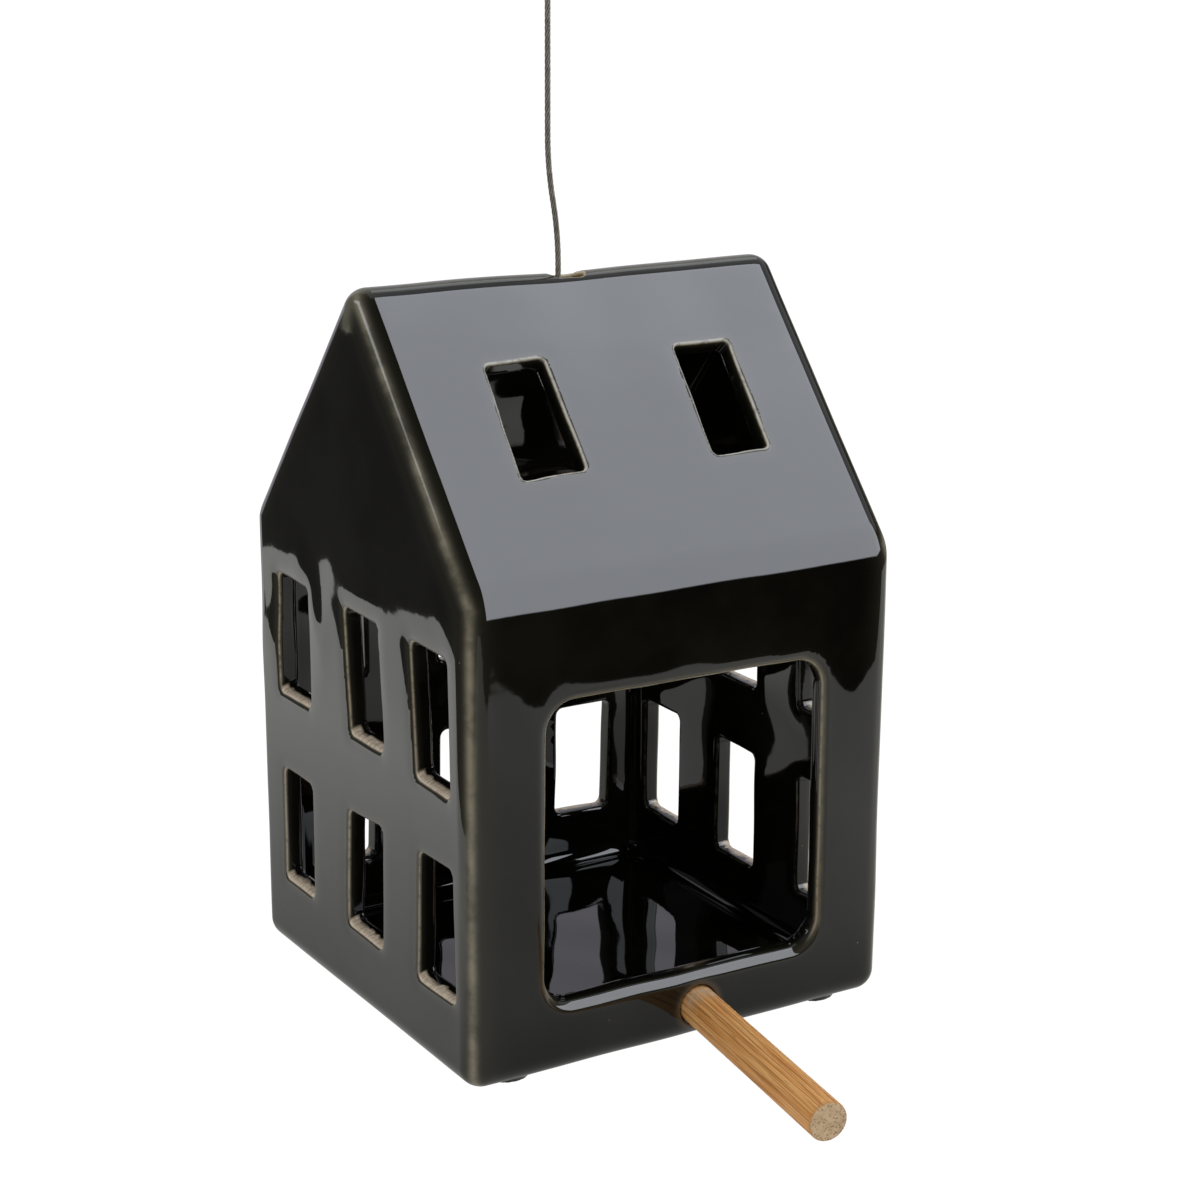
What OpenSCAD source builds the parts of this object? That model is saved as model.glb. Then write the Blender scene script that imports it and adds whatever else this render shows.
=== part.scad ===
// Hanging bird feeder: a glazed ceramic gabled house with cut windows, a round
// bamboo perch under its front opening, and a wire rope with a toggle bar
// that carries the house from inside its ridge.
// Frame: +Z up, +X along the ridge, -Y out of the front opening. The origin is
// in the plane of the four feet, under the middle of the whole feeder, perch
// included, so the house stands a little behind it.

/* [House] */
// Width of the house along the ridge
house_w = 123; // [105:1:145]
// Depth of the house from the front wall to the back wall
house_d = 118; // [100:1:140]
// Height of the eaves above the underside, before the edges are rounded
eave_h = 121; // [116:1:150]
// Height of the ridge above the underside, before the edges are rounded
ridge_h = 189.6; // [175:0.2:205]
// Thickness of the ceramic walls
wall_t = 6; // [4:0.5:8]
// Thickness of the floor
floor_t = 3.6; // [3:0.1:4]
// Radius of the outside edges
edge_r = 6; // [4:0.5:8]
// Radius of the inside corners
inner_r = 3.5; // [2:0.5:5]

/* [Feet] */
// Height of the moulded feet under the floor
foot_h = 1.2; // [0.8:0.1:2.5]
// Diameter of each foot
foot_d = 12; // [8:0.5:16]
// Distance from the side walls to the foot centres
foot_inset_x = 15.5; // [10:0.5:24]
// Distance from the front and back walls to the foot centres
foot_inset_y = 10.5; // [9:0.5:24]

/* [Wall windows] */
// Width of a wall window
win_w = 17.5; // [12:0.5:20]
// Height of a wall window
win_h = 32.5; // [24:0.5:36]
// Corner radius of a wall window
win_r = 2; // [1:0.5:4]
// Distance between window columns
win_pitch = 37.5; // [30:0.5:40]
// Height of the lower row's middle above the underside
low_row_z = 35.8; // [30:0.1:40]
// Height of the upper row's middle above the underside
high_row_z = 88; // [80:0.1:92]
// Shift of the left wall's windows towards the back
left_shift_y = -3; // [-6:0.5:6]
// Lift of the left wall's windows
left_lift = 1.6; // [-3:0.1:3]
// Shift of the right wall's windows towards the back
right_shift_y = 2.5; // [-6:0.5:6]
// Lift of the right wall's windows
right_lift = -1.6; // [-3:0.1:3]
// Lift of the back wall's windows
back_lift = -0.6; // [-3:0.1:3]

/* [Front opening] */
// Width of the front opening
front_w = 79; // [60:1:90]
// Height of the sill above the underside
sill_z = 18.2; // [16:0.1:24]
// Height of the top of the front opening above the underside
front_top_z = 94.8; // [80:0.2:104]
// Corner radius of the front opening
front_r = 9; // [5:0.5:14]

/* [Roof windows] */
// Width of a roof window
sky_w = 16.6; // [12:0.2:20]
// Length of a roof window down the slope
sky_l = 31.2; // [24:0.2:36]
// Corner radius of a roof window
sky_r = 1.6; // [1:0.2:3]
// Distance of each roof window from the middle of the roof
sky_x = 27; // [22:0.5:34]
// Distance up the slope from the eave line to a roof window's middle
sky_up = 47; // [42:0.5:52]

/* [Perch] */
// Diameter of the bamboo perch
perch_d = 10; // [8:0.5:10]
// Length of the perch outside the front wall
perch_out = 66; // [50:1:90]
// Length of the perch inside the house, behind the wall
perch_in = 8; // [4:1:16]
// Side position of the perch hole
perch_x = 4; // [-15:1:15]
// Height of the perch axis above the underside, at the wall
perch_z = 9; // [9:0.1:10]
// Turn of the perch towards the left
perch_yaw = 7; // [0:1:8]
// Droop of the perch
perch_droop = 1; // [0:0.5:1]
// Radial clearance of the perch in its hole
perch_gap = 0.06; // [0.02:0.01:0.09]

/* [Hanging cable] */
// Diameter of the wire rope
cable_d = 1.5; // [1:0.1:2]
// Length of the slot-shaped ridge hole along the ridge
ridge_hole_l = 9.4; // [9:0.2:11]
// Width of the ridge hole
ridge_hole_w = 5; // [5:0.1:6]
// Side position of the cable in the ridge hole
cable_x = -2.4; // [-2.4:0.1:0]
// Sideways set of the cable above the ridge
cable_set = 3; // [2:0.1:5]
// Lean of the cable between its two bends
cable_lean = 10; // [8:1:14]
// Height of the top of the hanging loop above the underside
loop_top_z = 372; // [340:1:460]
// Radius of the round end of the loop
loop_r = 11; // [8:0.5:14]
// Length of the straight legs of the loop
loop_leg = 30; // [24:1:40]
// Radial clearance of the cable in the toggle bar
cable_gap = 0.06; // [0.02:0.01:0.09]

/* [Toggle bar and ferrules] */
// Diameter of the toggle bar
toggle_d = 3.6; // [3.2:0.1:4.4]
// Length of the toggle bar
toggle_l = 40; // [30:1:60]
// Gap between the toggle bar and the roof it bears on
seat_gap = 0.05; // [0.02:0.01:0.1]
// Width of a crimped ferrule
ferrule_w = 4.4; // [4.2:0.1:5]
// Thickness of a crimped ferrule
ferrule_t = 2.6; // [2.4:0.1:3.4]
// Length of a crimped ferrule
ferrule_l = 9; // [6:0.5:12]

/* [Hidden] */
$fn = 48;

half_w = house_w / 2;
half_d = house_d / 2;
// roof slope from the horizontal
slope = atan2(ridge_h - eave_h, half_d);
slope_l = half_d / cos(slope);
// underside of the ceramic above the plane of the feet
base_z = foot_h;

// how far the perch end stands in front of the front wall
perch_reach = perch_out * cos(perch_yaw) * cos(perch_droop)
  + (perch_d / 2 - 0.3) * sqrt(1 - pow(cos(perch_yaw) * cos(perch_droop), 2));
// the house's middle behind the middle of the whole feeder
frame_y = perch_reach / 2;

// height at which the bar comes up against the rounded inside of the ridge
seat_r = max(inner_r, toggle_d / 2);
toggle_z = base_z + ridge_h - (wall_t + seat_r) / cos(slope) + seat_r - toggle_d / 2 - seat_gap;
stop_top_z = toggle_z - toggle_d / 2 - 0.05;
stop_bottom_z = stop_top_z - 6;

// the cable leaves the hole straight, then takes an S: two equal arcs with a
// short straight run between them
bend_run = 2;
bend_r = (cable_set - bend_run * sin(cable_lean)) / (2 * (1 - cos(cable_lean)));
bend_z0 = base_z + ridge_h - 2;
bend_z1 = bend_z0 + 2 * bend_r * sin(cable_lean) + bend_run * cos(cable_lean);
bend_mx = cable_x - cable_set / 2;
bend_mz = (bend_z0 + bend_z1) / 2;
cable_top_x = cable_x - cable_set;
// the loop: two cables side by side in the ferrule, then two legs that
// spread until they are tangent to the round end
leg_h = cable_d / 2 + 0.02;
loop_x = cable_top_x + leg_h;
loop_cz = base_z + loop_top_z - loop_r - cable_d / 2;
leg_z = loop_cz - loop_leg;
leg_dist = sqrt(leg_h * leg_h + loop_leg * loop_leg);
leg_a = 90 - atan(leg_h / loop_leg) - acos(loop_r / leg_dist);
ferrule_z1 = leg_z - 1.2;
ferrule_z0 = ferrule_z1 - ferrule_l;

// ---- shapes

// moves a piece drawn about the house's middle into the feeder's frame
module in_frame() {
  translate([0, frame_y, 0]) children();
}

// a ball whose faceted outline still reaches its full radius on each axis
module ball(r) {
  sphere(r = r / cos(7.5), $fn = 24);
}

// gabled prism with rounded edges: inset is the distance in from the outside
// faces, floor_z the level of its flat bottom, r the radius of its edges
module gabled(inset, floor_z, r) {
  x = half_w - inset - r;
  y = half_d - inset - r;
  top = ridge_h - (inset + r) / cos(slope);
  hull() {
    for (sx = [-1, 1]) {
      for (sy = [-1, 1]) {
        translate([sx * x, sy * y, floor_z + r]) ball(r);
        translate([sx * x, sy * y, top - y * tan(slope)]) ball(r);
      }
      translate([sx * x, 0, top]) ball(r);
    }
  }
}

// flat outline of a window with rounded corners, centred
module pane(w, h, r) {
  square([w - 2 * r, h], center = true);
  square([w, h - 2 * r], center = true);
  for (sx = [-1, 1]) for (sy = [-1, 1])
    translate([sx * (w / 2 - r), sy * (h / 2 - r)]) circle(r);
}

// cutter through a wall whose outside faces +Z before it is turned
module pane_cut(w, h, r) {
  translate([0, 0, -wall_t - 4]) linear_extrude(wall_t + 8) pane(w, h, r);
}

// a window grid of three columns and two rows in a side wall
module side_windows(side, shift, lift) {
  for (col = [-1, 0, 1]) for (z = [low_row_z, high_row_z])
    translate([side * half_w, col * win_pitch + shift, z + lift])
      rotate([90, 0, side * 90]) pane_cut(win_w, win_h, win_r);
}

module back_windows() {
  for (col = [-1, 0, 1]) for (z = [low_row_z, high_row_z])
    translate([col * win_pitch, half_d, z + back_lift])
      rotate([-90, 0, 0]) pane_cut(win_w, win_h, win_r);
}

// roof windows in one slope, side -1 at the front and +1 at the back
module roof_windows(side) {
  for (sx = [-1, 1])
    translate([sx * sky_x, side * (half_d - sky_up * cos(slope)), eave_h + sky_up * sin(slope)])
      rotate([-side * slope, 0, 0]) pane_cut(sky_w, sky_l, sky_r);
}

// moves and turns a shape that points along +Z onto the perch axis
module on_perch() {
  translate([perch_x, -half_d, perch_z])
    rotate([0, 0, -perch_yaw]) rotate([90 + perch_droop, 0, 0]) children();
}

module foot() {
  cylinder(r1 = foot_d / 2 - 0.8, r2 = foot_d / 2, h = foot_h + 0.4);
}

// ---- pieces

module house_body() {
  color("#23231f") in_frame()
  union() {
    translate([0, 0, base_z]) difference() {
      gabled(0, 0, edge_r);
      gabled(wall_t, floor_t, inner_r);
      side_windows(-1, left_shift_y, left_lift);
      side_windows(1, right_shift_y, right_lift);
      back_windows();
      roof_windows(-1);
      roof_windows(1);
      // front opening
      translate([0, -half_d, (sill_z + front_top_z) / 2])
        rotate([90, 0, 0]) pane_cut(front_w, front_top_z - sill_z, front_r);
      // perch hole
      on_perch() translate([0, 0, -perch_in - wall_t - 1])
        cylinder(d = perch_d + 2 * perch_gap, h = perch_in + wall_t + 6);
      // ridge hole
      translate([0, 0, ridge_h - wall_t / cos(slope) - 12]) linear_extrude(30) {
        square([ridge_hole_l - ridge_hole_w, ridge_hole_w], center = true);
        for (s = [-1, 1]) translate([s * (ridge_hole_l - ridge_hole_w) / 2, 0]) circle(d = ridge_hole_w);
      }
    }
    for (sx = [-1, 1]) for (sy = [-1, 1])
      translate([sx * (half_w - foot_inset_x), sy * (half_d - foot_inset_y), 0]) foot();
  }
}

module perch_dowel() {
  color("#c98f52") in_frame()
  translate([0, 0, base_z]) on_perch()
    translate([0, 0, -perch_in - wall_t]) rotate_extrude()
      polygon([
        [0, 0], [perch_d / 2 - 0.3, 0], [perch_d / 2, 0.3],
        [perch_d / 2, perch_in + wall_t + perch_out - 0.3],
        [perch_d / 2 - 0.3, perch_in + wall_t + perch_out],
        [0, perch_in + wall_t + perch_out]
      ]);
}

// arc of cable in the XZ plane about [cx, cz], from angle a0 to a1; it is a
// hair thinner and longer than the straight runs, so its ends sit inside them
module cable_arc(cx, cz, r, a0, a1) {
  over = 0.3 / r * 180 / PI;
  translate([cx, 0, cz]) rotate([90, 0, 0]) rotate([0, 0, a0 - over])
    rotate_extrude(angle = a1 - a0 + 2 * over, $fn = 96)
      translate([r, 0]) circle(d = cable_d - 0.02, $fn = 24);
}

// straight cable in the XZ plane from one point to another
module cable_run(x0, z0, x1, z1) {
  l = sqrt((x1 - x0) * (x1 - x0) + (z1 - z0) * (z1 - z0));
  translate([x0, 0, z0]) rotate([0, atan2(x1 - x0, z1 - z0), 0])
    cylinder(d = cable_d, h = l, $fn = 24);
}

// rounds the outside of a slight bend between two straight runs
module cable_knee(x, z) {
  translate([x, 0, z]) sphere(d = cable_d + 0.04, $fn = 24);
}

module hanging_cable() {
  color("#6d675e") in_frame()
  union() {
    // inside the toggle bar and up through the ridge hole
    cable_run(cable_x, stop_bottom_z - 0.8, cable_x, bend_z0);
    // S bend above the ridge
    cable_arc(cable_x - bend_r, bend_z0, bend_r, 0, cable_lean);
    cable_run(bend_mx + sin(cable_lean) * bend_run / 2, bend_mz - cos(cable_lean) * bend_run / 2,
              bend_mx - sin(cable_lean) * bend_run / 2, bend_mz + cos(cable_lean) * bend_run / 2);
    cable_arc(cable_top_x + bend_r, bend_z1, bend_r, 180, 180 + cable_lean);
    // the standing cable through the ferrule
    cable_run(cable_top_x, bend_z1, cable_top_x, leg_z);
    // the cut end beside it
    cable_run(cable_top_x + 2 * leg_h, ferrule_z0 - 2, cable_top_x + 2 * leg_h, leg_z);
    // two legs, tangent to the round end of the loop
    for (s = [-1, 1]) {
      cable_knee(loop_x + s * leg_h, leg_z);
      cable_run(loop_x + s * leg_h, leg_z, loop_x + s * loop_r * cos(leg_a), loop_cz - loop_r * sin(leg_a));
    }
    cable_arc(loop_x, loop_cz, loop_r, -leg_a, 180 + leg_a);
  }
}

// crimped oval sleeve round two cables side by side
module loop_ferrule() {
  color("#a5a6a3") in_frame()
  difference() {
    translate([loop_x, 0, ferrule_z0]) linear_extrude(ferrule_l) {
      square([ferrule_w - ferrule_t, ferrule_t], center = true);
      for (s = [-1, 1]) translate([s * (ferrule_w - ferrule_t) / 2, 0]) circle(d = ferrule_t);
    }
    for (s = [-1, 1])
      translate([loop_x + s * leg_h, 0, ferrule_z0 - 1]) cylinder(d = cable_d + 0.02, h = ferrule_l + 2, $fn = 24);
  }
}

module toggle_bar() {
  color("#b08a5c") in_frame()
  difference() {
    translate([cable_x, 0, toggle_z]) rotate([0, 90, 0])
      translate([0, 0, -toggle_l / 2]) rotate_extrude() polygon([
        [0, 0], [toggle_d / 2 - 0.4, 0], [toggle_d / 2, 0.4],
        [toggle_d / 2, toggle_l - 0.4], [toggle_d / 2 - 0.4, toggle_l], [0, toggle_l]
      ]);
    translate([cable_x, 0, toggle_z - toggle_d]) cylinder(d = cable_d + 2 * cable_gap, h = 2 * toggle_d);
  }
}

// round crimped stop on the cable's lower end
module stop_ferrule() {
  color("#a5a6a3") in_frame()
  translate([cable_x, 0, stop_bottom_z]) difference() {
    rotate_extrude() polygon([
      [0, 0], [1.35, 0], [1.7, 0.35], [1.7, 5.65], [1.35, 6], [0, 6]
    ]);
    translate([0, 0, -1]) cylinder(d = cable_d + 0.02, h = 8, $fn = 24);
  }
}

house_body();
perch_dowel();
hanging_cable();
loop_ferrule();
toggle_bar();
stop_ferrule();
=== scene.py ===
"""Looks of the hanging bird feeder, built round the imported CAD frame.

The glazed house is one mesh taken from a distance field of the same shape as the
CAD solid, with the soft, hand-cut rims and slightly uneven faces of slip-cast
pottery. Perch, toggle bar, wire rope and ferrules are swept or turned meshes.
Lengths in this script are millimetres about the house's middle until put()."""

import math

import bpy
import numpy as np
from mathutils import Matrix, Vector


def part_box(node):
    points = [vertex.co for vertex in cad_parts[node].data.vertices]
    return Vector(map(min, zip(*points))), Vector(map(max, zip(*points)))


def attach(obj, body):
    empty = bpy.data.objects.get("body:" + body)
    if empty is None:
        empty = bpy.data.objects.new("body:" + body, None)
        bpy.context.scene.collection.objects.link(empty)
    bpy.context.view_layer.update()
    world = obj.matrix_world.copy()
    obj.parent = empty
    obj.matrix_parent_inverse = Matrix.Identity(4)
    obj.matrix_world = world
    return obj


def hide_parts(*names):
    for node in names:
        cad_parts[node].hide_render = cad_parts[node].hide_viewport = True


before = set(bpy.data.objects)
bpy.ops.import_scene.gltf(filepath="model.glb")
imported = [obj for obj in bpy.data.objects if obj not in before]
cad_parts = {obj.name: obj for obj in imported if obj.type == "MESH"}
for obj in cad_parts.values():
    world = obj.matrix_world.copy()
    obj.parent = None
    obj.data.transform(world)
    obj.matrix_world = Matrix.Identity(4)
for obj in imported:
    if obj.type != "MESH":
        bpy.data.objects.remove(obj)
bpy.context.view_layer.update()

_lo, _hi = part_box("house_body")
FY = (_lo.y + _hi.y) * 500.0
HW = (_hi.x - _lo.x) * 500.0
HD = (_hi.y - _lo.y) * 500.0
BASE, EAVE, RIDGE, WALL, FLOOR = 1.2, 121.0, 189.6, 6.0, 3.6
SL = math.atan2(RIDGE - EAVE, HD)
CS, SN = math.cos(SL), math.sin(SL)
SKIN = 0.24


def put(p):
    """House millimetres to frame metres."""
    return (np.asarray(p, float) + np.array([0.0, FY, 0.0])) / 1000.0


# ------------------------------------------------------------ distance fields


def poly_sdf(a, b, V):
    m, d2 = None, None
    n = len(V)
    for i in range(n):
        p, q = V[i], V[(i + 1) % n]
        e0, e1 = q[0] - p[0], q[1] - p[1]
        L2 = e0 * e0 + e1 * e1
        L = math.sqrt(L2)
        wa, wb = a - p[0], b - p[1]
        side = (wa * e1 - wb * e0) / L
        t = np.clip((wa * e0 + wb * e1) / L2, 0, 1)
        dd = (wa - t * e0) ** 2 + (wb - t * e1) ** 2
        m = side if m is None else np.maximum(m, side)
        d2 = dd if d2 is None else np.minimum(d2, dd)
    return np.where(m < 0, m, np.sqrt(d2))


def inset_poly(V, r):
    V = [np.array(v, float) for v in V]
    area = sum(V[i][0] * V[(i + 1) % len(V)][1] - V[(i + 1) % len(V)][0] * V[i][1] for i in range(len(V)))
    if area < 0:
        V = V[::-1]
    lines = []
    for i in range(len(V)):
        e = V[(i + 1) % len(V)] - V[i]
        e /= np.linalg.norm(e)
        nrm = np.array([e[1], -e[0]])
        lines.append((nrm, nrm @ V[i] - r))
    out = []
    for i in range(len(V)):
        (n1, h1), (n2, h2) = lines[i - 1], lines[i]
        out.append(np.linalg.solve(np.array([n1, n2]), np.array([h1, h2])))
    return out


def gable_core(inset, floor_z, r):
    y0 = HD - inset - r
    top = RIDGE - (inset + r) / CS
    zb, ze = floor_z + r, top - y0 * math.tan(SL)
    return [(-y0, zb), (y0, zb), (y0, ze), (0, top), (-y0, ze)], HW - inset - r


CORE_OUT, HX_OUT = gable_core(SKIN, SKIN * 0.5, 5.8)
HX_OUT -= 0.14  # room for the swells of the side faces
CORE_IN, HX_IN = gable_core(WALL, FLOOR, 4.2)


def round_cut(a, b, r):
    """Intersection of two fields with a rounded edge of radius r."""
    u, v = np.maximum(a + r, 0), np.maximum(b + r, 0)
    return np.minimum(np.maximum(a, b), -r) + np.hypot(u, v)


def prism(x, y, z, core, hx, r, eave=0.0):
    d2 = poly_sdf(y, z, core)
    if eave:
        # the wall turns into the roof over a longer, softer bend than the other edges
        a = np.abs(y) - core[1][0] - r
        b = SN * (np.abs(y) - core[2][0]) + CS * (z - core[2][1]) - r
        d2 = np.maximum(d2, r + round_cut(a, b, eave))
    dx = np.abs(x) - hx
    return np.minimum(np.maximum(d2, dx), 0) + np.hypot(np.maximum(d2, 0), np.maximum(dx, 0)) - r


def make_waves(n, lo, hi, amp, seed):
    rng = np.random.RandomState(seed)
    d = rng.normal(size=(n, 3))
    d /= np.linalg.norm(d, axis=1)[:, None]
    lam = rng.uniform(lo, hi, n)
    return d * (2 * math.pi / lam)[:, None], rng.uniform(0, 2 * math.pi, n), amp * rng.uniform(0.5, 1, n)


def waves(P, w):
    k, ph, amp = w
    s = 0.0
    for i in range(len(ph)):
        s = s + amp[i] * np.sin(P[:, 0] * k[i, 0] + P[:, 1] * k[i, 1] + P[:, 2] * k[i, 2] + ph[i])
    return s


W_OUT = make_waves(9, 26, 70, 0.032, 11)
W_FINE = make_waves(8, 9, 17, 0.0035, 12)
W_IN = make_waves(9, 18, 40, 0.055, 13)
W_CUT = make_waves(6, 12, 30, 0.035, 14)


def eased(at, values, sigma=2.4):
    """Finely tabled curve through the values, eased with a Gaussian."""
    g = np.arange(-64, 64.01, 0.25)
    v = np.interp(g, at, values)
    k = np.exp(-(np.arange(-40, 41) * 0.25 / sigma) ** 2 / 2)
    return g, np.convolve(np.pad(v, 40, mode="edge"), k / k.sum(), mode="valid")


# gentle swells of the faces: slope of each swell and the height of its middle
SWELL_L = (eased([-59, -44, -27.8, -13.8, 4.8, 12, 19, 25, 30, 45, 59], [0.027, -0.027, -0.016, 0.011, -0.004, 0.012, 0.062, 0.02, 0.0, 0.06, 0.05], 1.8),
           eased([-59, -44, -27.8, -13.8, 4.8, 12, 19, 25, 30, 45, 59], [104, 115, 112, 108, 108, 106, 100, 106, 108, 92, 90]))
SWELL_F = (eased([-60, -53.6, -50, -46, -42, -36, 0, 38, 43, 48, 54, 60], [-0.02, -0.02, -0.002, 0.006, 0.018, 0.0, 0.0, 0.0, 0.004, 0.024, 0.002, -0.012], 1.6),
           eased([-60, -53.6, -46, -42, 40, 48, 60], [109, 108, 100, 96, 94, 85, 94], 1.6))


def swells(x, y, z):
    wl = np.interp(y, *SWELL_L[0]) * (z - np.interp(y, *SWELL_L[1])) * np.exp(-((z - np.interp(y, *SWELL_L[1])) / 11.0) ** 2)
    wf = np.interp(x, *SWELL_F[0]) * (z - np.interp(x, *SWELL_F[1])) * np.exp(-((z - np.interp(x, *SWELL_F[1])) / 11.0) ** 2)
    wf = wf - 0.07 * (x + 45) * np.exp(-((x + 45) / 8.0) ** 2 - ((z - 40) / 16.0) ** 2)
    left = np.clip((-x - HW + 9) / 6, 0, 1) * np.clip((HD - 1 - np.abs(y)) / 6, 0, 1)
    front = np.clip((-y - HD + 9) / 6, 0, 1) * np.clip((HW - 1 - np.abs(x)) / 6, 0, 1)
    left, front = left * left * (3 - 2 * left), front * front * (3 - 2 * front)
    return wl * left + wf * front


# wall planes: u, v across the wall and t out of it
WALLS = {
    "L": lambda x, y, z: (y, z, -x - HW),
    "R": lambda x, y, z: (y, z, x - HW),
    "F": lambda x, y, z: (x, z, -y - HD),
    "B": lambda x, y, z: (x, z, y - HD),
    "SF": lambda x, y, z: (x, (y + HD) * CS + (z - EAVE) * SN, -SN * (y + HD) + CS * (z - EAVE)),
    "SB": lambda x, y, z: (x, (HD - y) * CS + (z - EAVE) * SN, -SN * (HD - y) + CS * (z - EAVE)),
}
CUTS = []


def add_cut(wall, quad, rc, ro, ri, dish, dish_w, tilt=0.0):
    CUTS.append(dict(wall=wall, V=inset_poly(quad, rc), rc=rc, ro=ro, ri=ri, dish=dish, dw=dish_w, tilt=tilt,
                     c=np.mean(quad, 0), h=(np.max(quad, 0) - np.min(quad, 0)) / 2))


for quad in (
    [(44.6, 106.0), (26.8, 105.8), (26.3, 74.0), (44.5, 73.8)],
    [(5.6, 106.4), (-12.7, 106.0), (-14.7, 74.2), (2.9, 73.9)],
    [(-29.9, 106.5), (-47.6, 106.2), (-49.0, 72.8), (-32.6, 73.4)],
    [(43.7, 52.4), (26.9, 52.4), (27.2, 21.2), (44.2, 21.5)],
    [(4.8, 52.8), (-13.5, 53.9), (-12.0, 21.3), (6.8, 21.4)],
    [(-33.2, 54.2), (-49.4, 54.5), (-50.7, 21.3), (-31.8, 21.0)],
):
    add_cut("L", quad, 1.7, 1.35, 1.2, 0.20, 2.8, tilt=0.18)
_r = np.random.RandomState(5)
for wall, cols, rows in (("R", (40, 2.5, -35), (34.3, 86.0)), ("B", (-37.5, 0, 37.3), (35.1, 87.2))):
    for cu in cols:
        for cv in rows:
            j = _r.uniform(-0.6, 0.6, (4, 2))
            quad = np.array([(cu - 8.75, cv + 16.2), (cu + 8.75, cv + 16.2), (cu + 8.75, cv - 16.2), (cu - 8.75, cv - 16.2)]) + j
            if wall == "B" and cu < -30:  # this column sits a little nearer to the corner, and its upper window is narrower
                quad[:, 0] -= 0.6
                quad[1:3, 0] -= (0.0, 2.4)[cv > 60]
            add_cut(wall, quad, 1.9, 1.35, 1.3, 0.20, 2.8)
add_cut("F", [(-39.2, 94.9), (39.4, 94.3), (39.8, 17.6), (-39.8, 18.1)], 7.6, 2.7, 2.2, 0.06, 3.0, tilt=0.25)
add_cut("SF", [(-33.4, 62.4), (-17.2, 62.9), (-17.0, 31.7), (-34.7, 30.9)], 1.3, 0.8, 1.0, 0.03, 3.4)
add_cut("SF", [(20.5, 62.5), (36.7, 62.5), (35.8, 31.2), (19.7, 31.2)], 1.3, 0.8, 1.0, 0.03, 3.4)
add_cut("SB", [(-35.0, 62.6), (-18.6, 62.3), (-18.9, 31.3), (-35.4, 31.5)], 1.3, 0.8, 1.0, 0.03, 3.4)
add_cut("SB", [(19.0, 62.4), (35.6, 62.8), (35.3, 31.2), (18.8, 31.0)], 1.3, 0.8, 1.0, 0.03, 3.4)

PERCH_O = np.array([4.0, -HD, 9.0])
_yaw, _dr = math.radians(7), math.radians(1)
PERCH_A = np.array([-math.sin(_yaw) * math.cos(_dr), -math.cos(_yaw) * math.cos(_dr), -math.sin(_dr)])
FEET = [(sx * (HW - 15.5), sy * (HD - 10.5)) for sx in (-1, 1) for sy in (-1, 1)]


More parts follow.
